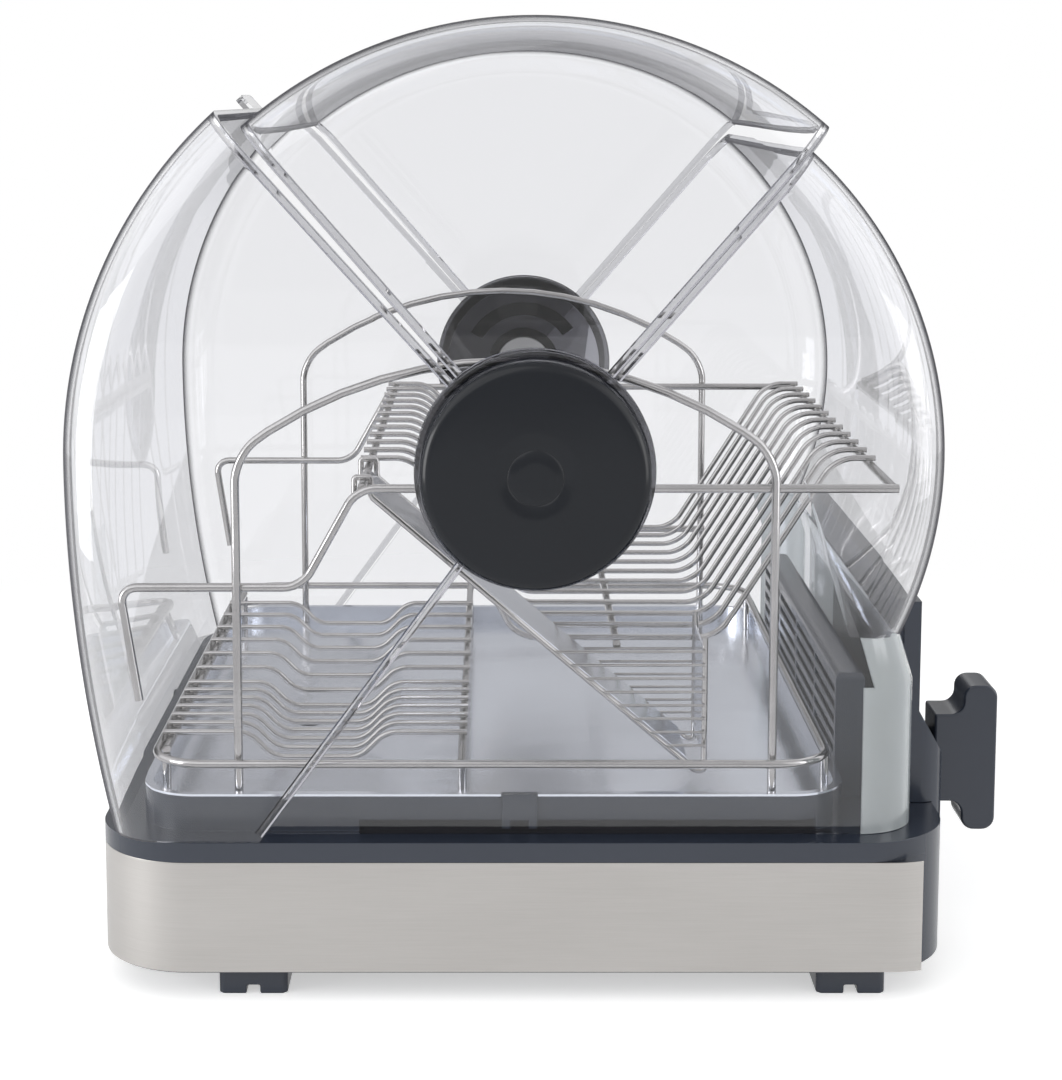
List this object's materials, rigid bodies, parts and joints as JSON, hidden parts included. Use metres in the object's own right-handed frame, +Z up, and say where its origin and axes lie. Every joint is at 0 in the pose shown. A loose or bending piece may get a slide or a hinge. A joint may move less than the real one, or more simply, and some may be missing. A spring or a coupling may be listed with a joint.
{
  "type": "dish sterilizer cabinet",
  "caption": "Countertop dish dryer: drum-shaped clear cover with two turning lids over wire racks, on a low base with blower, heater and water drawer.",
  "frame": {"origin": "centre of the bounding box in plan, at the underside of the feet", "axes": "+Z up; the front, where the lid opens and the drawer pulls out, faces -Y; the hub axis runs along X"},
  "size_m": [0.452, 0.431, 0.4367],
  "materials": {
    "clear_cover": "clear moulded plastic, polished",
    "gloss_black": "smooth gloss",
    "dark_moulding": "satin moulded",
    "brushed_band": "horizontal brushing",
    "polished_tray": "bright rolled sheet",
    "bright_wire": "polished wire",
    "water_tub": "translucent moulded",
    "turned_steel": "turned",
    "inner_metal": "plain",
    "inner_plastic": "plain moulded",
    "amber_lens": "clear coloured lens"
  },
  "bodies": {
    "base": {"rear_cover": "clear_cover", "hub_caps": "gloss_black", "control_panel": "gloss_black", "base_pan": "dark_moulding", "feet": "dark_moulding", "base_deck": "dark_moulding", "side_catches": "dark_moulding", "rear_housing": "dark_moulding", "cord_hooks": "dark_moulding", "cord_gland": "dark_moulding", "air_outlet": "dark_moulding", "hub_washers": "dark_moulding", "steel_band": "brushed_band", "drain_tray": "polished_tray", "lower_rim": "bright_wire", "lower_rails": "bright_wire", "lower_feet": "bright_wire", "cradle_wires": "bright_wire", "hub_pins": "turned_steel", "fan_motor": "inner_metal", "heater_frame": "inner_metal", "heater_core": "inner_metal", "thermostat": "inner_metal", "fan_scroll": "inner_plastic", "air_duct": "inner_plastic", "timer_body": "inner_plastic", "pilot_lamp": "amber_lens"},
    "front_lid": {"front_lid": "clear_cover"},
    "top_lid": {"top_lid": "clear_cover"},
    "water_drawer": {"drawer_tray": "water_tub", "drawer_face": "brushed_band"},
    "timer_knob": {"timer_knob": "gloss_black"},
    "fan": {"fan_wheel": "inner_plastic", "fan_spindle": "turned_steel"},
    "upper_rack": {"rack_hoop_right": "bright_wire", "rack_hoop_left": "bright_wire", "side_rail_right": "bright_wire", "side_rail_left": "bright_wire", "cross_rails": "bright_wire", "rack_ties": "bright_wire", "plate_wires": "bright_wire"},
    "cutlery_holder": {"cup_loops": "bright_wire", "cup_grid": "bright_wire", "cup_chute": "polished_tray", "cup_back_wall": "polished_tray"}
  },
  "joints": [
    {"name": "front_lid_hinge", "type": "hinge", "parent": "base", "child": "front_lid", "pos_m": [0, -0.007, 0.2405], "axis": [-1, 0, 0], "range_deg": [0, 140]},
    {"name": "top_lid_hinge", "type": "hinge", "parent": "base", "child": "top_lid", "pos_m": [0, -0.007, 0.2405], "axis": [-1, 0, 0], "range_deg": [0, 62]},
    {"name": "water_drawer_slide", "type": "slide", "parent": "base", "child": "water_drawer", "axis": [0, -1, 0], "range_m": [0, 0.11]},
    {"name": "timer_knob_turn", "type": "hinge", "parent": "base", "child": "timer_knob", "pos_m": [-0.124, -0.20333, 0.03975], "axis": [0, -1, 0], "range_deg": [-300, 0]},
    {"name": "fan_spin", "type": "hinge", "parent": "base", "child": "fan", "pos_m": [0, 0.05, 0.045], "axis": [0, 0, 1], "continuous": true},
    {"name": "upper_rack_lift", "type": "slide", "parent": "base", "child": "upper_rack", "axis": [0, 0, 1], "range_m": [0, 0.04]},
    {"name": "cutlery_holder_lift", "type": "slide", "parent": "upper_rack", "child": "cutlery_holder", "axis": [0, 0, 1], "range_m": [0, 0.03]}
  ]
}
